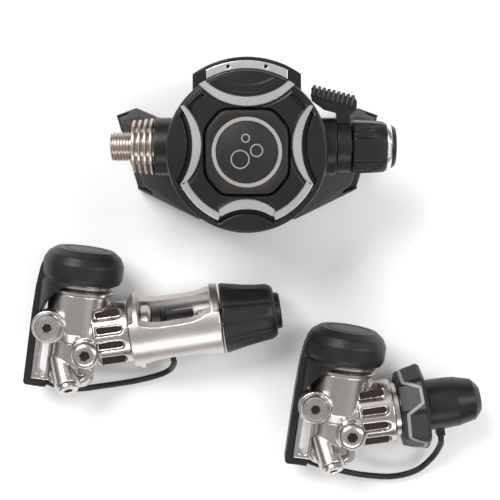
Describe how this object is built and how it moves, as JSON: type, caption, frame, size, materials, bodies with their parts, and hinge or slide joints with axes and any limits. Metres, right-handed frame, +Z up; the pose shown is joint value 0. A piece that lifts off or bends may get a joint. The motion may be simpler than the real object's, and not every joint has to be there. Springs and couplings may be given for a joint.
{
  "type": "scuba regulator set",
  "caption": "Scuba regulator set laid flat: a round second stage, a yoke first stage with its clamp knob, and a DIN first stage with handwheel and dust cap.",
  "frame": {"origin": "centre of the bottom of the bounding box of the set as it lies", "axes": "+Z up, away from the surface; +Y from the first stages towards the second stage; +X towards the DIN first stage"},
  "size_m": [0.2406, 0.2201, 0.0852],
  "materials": {
    "black_plastic": "satin",
    "button_plastic": "fine texture",
    "knob_rubber": "soft sheen",
    "bright_trim": "brushed",
    "badge_metal": "satin",
    "steel": "plain",
    "silicone": "matt",
    "tee_plastic": "matt",
    "clip_nylon": "plain",
    "satin_brass": "satin nickel plating",
    "satin_chrome": "satin",
    "yoke_metal": "satin",
    "boot_rubber": "soft sheen",
    "cap_rubber": "soft sheen",
    "wheel_rubber": "soft sheen"
  },
  "bodies": {
    "second_stage": {"stage_case": "black_plastic", "stage_cover": "black_plastic", "cover_trim": "bright_trim", "name_plate": "bright_trim", "purge_spring": "steel", "stage_diaphragm": "silicone", "valve_barrel": "satin_brass", "poppet_spring": "steel", "valve_seat": "satin_brass", "heat_sink": "satin_brass", "hose_inlet": "satin_brass", "exhaust_tee": "tee_plastic", "exhaust_valve": "silicone", "mouthpiece": "silicone", "mouthpiece_clip": "clip_nylon"},
    "purge": {"purge_button": "button_plastic", "purge_badge": "badge_metal"},
    "lever": {"demand_lever": "steel"},
    "poppet": {"stage_poppet": "clip_nylon"},
    "venturi": {"venturi_lever": "black_plastic"},
    "resistance_knob": {"adjust_knob": "knob_rubber", "knob_ring": "bright_trim", "knob_cap": "black_plastic"},
    "resistance_screw": {"adjust_screw": "satin_brass"},
    "yoke_stage": {"yoke_body": "satin_chrome", "yoke_boot": "boot_rubber", "yoke_fins": "satin_chrome", "yoke_diaphragm": "silicone", "yoke_spring": "steel", "yoke_base_plug": "satin_chrome", "yoke_high_plug": "satin_chrome", "yoke_low_plug_a": "satin_chrome", "yoke_low_plug_b": "satin_chrome", "yoke_rear_plugs": "satin_chrome", "yoke_retainer": "satin_chrome", "yoke_clamp": "yoke_metal", "yoke_tether": "cap_rubber"},
    "yoke_pin": {"yoke_valve": "steel"},
    "clamp_screw": {"yoke_screw": "satin_chrome"},
    "clamp_knob": {"yoke_knob": "knob_rubber"},
    "inlet_cap": {"yoke_cap": "cap_rubber"},
    "din_stage": {"din_body": "satin_chrome", "din_boot": "boot_rubber", "din_fins": "satin_chrome", "din_diaphragm": "silicone", "din_spring": "steel", "din_base_plug": "satin_chrome", "din_high_plug": "satin_chrome", "din_low_plug_a": "satin_chrome", "din_low_plug_b": "satin_chrome", "din_rear_plugs": "satin_chrome", "din_stub": "satin_chrome", "din_tether": "cap_rubber"},
    "din_pin": {"din_valve": "steel"},
    "handwheel": {"din_wheel": "wheel_rubber"},
    "thread_cap": {"din_cap": "cap_rubber"}
  },
  "joints": [
    {"name": "purge_press", "type": "slide", "parent": "second_stage", "child": "purge", "axis": [0, 0.1219, -0.9925], "range_m": [0, 0.002], "stiffness_N_per_m": 900, "springref_m": -0.0012, "deforming": ["purge_spring", "stage_diaphragm"]},
    {"name": "lever_tilt", "type": "hinge", "parent": "second_stage", "child": "lever", "pos_m": [-0.00242, 0.06154, 0.05743], "axis": [0, 0.9925, 0.1219], "range_deg": [0, 8.2]},
    {"name": "poppet_lift", "type": "slide", "parent": "second_stage", "child": "poppet", "axis": [1, 0, 0], "range_m": [0, 0.001], "deforming": ["poppet_spring"]},
    {"name": "venturi_turn", "type": "hinge", "parent": "second_stage", "child": "venturi", "pos_m": [0.04458, 0.06154, 0.05743], "axis": [1, 0, 0], "range_deg": [-45, 0]},
    {"name": "knob_turn", "type": "hinge", "parent": "second_stage", "child": "resistance_knob", "pos_m": [0.05758, 0.06154, 0.05743], "axis": [1, 0, 0], "range_deg": [0, 1080]},
    {"name": "screw_feed", "type": "slide", "parent": "second_stage", "child": "resistance_screw", "axis": [-1, 0, 0], "range_m": [0, 0.003], "deforming": ["poppet_spring"]},
    {"name": "yoke_lift", "type": "slide", "parent": "second_stage", "child": "yoke_stage", "axis": [0, 0, 1], "range_m": [0, 0.1]},
    {"name": "yoke_pin_move", "type": "slide", "parent": "yoke_stage", "child": "yoke_pin", "axis": [-0.144, -0.9841, -0.1044], "range_m": [0, 0.0006], "stiffness_N_per_m": 4000, "springref_m": -0.0002, "deforming": ["yoke_spring"]},
    {"name": "clamp_feed", "type": "slide", "parent": "yoke_stage", "child": "clamp_screw", "axis": [0.9902, 0.1377, -0.0232], "range_m": [0, 0.008]},
    {"name": "clamp_turn", "type": "hinge", "parent": "clamp_screw", "child": "clamp_knob", "pos_m": [-0.0044, -0.02402, 0.01971], "axis": [-0.9902, -0.1377, 0.0232], "range_deg": [0, 1440]},
    {"name": "inlet_cap_pull", "type": "slide", "parent": "yoke_stage", "child": "inlet_cap", "axis": [-0.1142, 0.8945, 0.4323], "range_m": [0, 0.022]},
    {"name": "din_lift", "type": "slide", "parent": "second_stage", "child": "din_stage", "axis": [0, 0, 1], "range_m": [0, 0.1]},
    {"name": "din_pin_move", "type": "slide", "parent": "din_stage", "child": "din_pin", "axis": [-0.1408, -0.9845, -0.1045], "range_m": [0, 0.0006], "stiffness_N_per_m": 4000, "springref_m": -0.0002, "deforming": ["din_spring"]},
    {"name": "handwheel_turn", "type": "hinge", "parent": "din_stage", "child": "handwheel", "pos_m": [0.0833, -0.0724, 0.02234], "axis": [0.9905, 0.1376, 0.007], "continuous": true},
    {"name": "thread_cap_pull", "type": "slide", "parent": "din_stage", "child": "thread_cap", "axis": [0.9905, 0.1376, 0.007], "range_m": [0, 0.03]}
  ],
  "couplings": [
    {"joint": "lever_tilt", "follows": "purge_press", "rad_per_m": 69.813},
    {"joint": "poppet_lift", "follows": "purge_press", "ratio": 0.45},
    {"joint": "knob_turn", "follows": "screw_feed", "rad_per_m": 6283.2},
    {"joint": "clamp_turn", "follows": "clamp_feed", "rad_per_m": 3141.6}
  ]
}
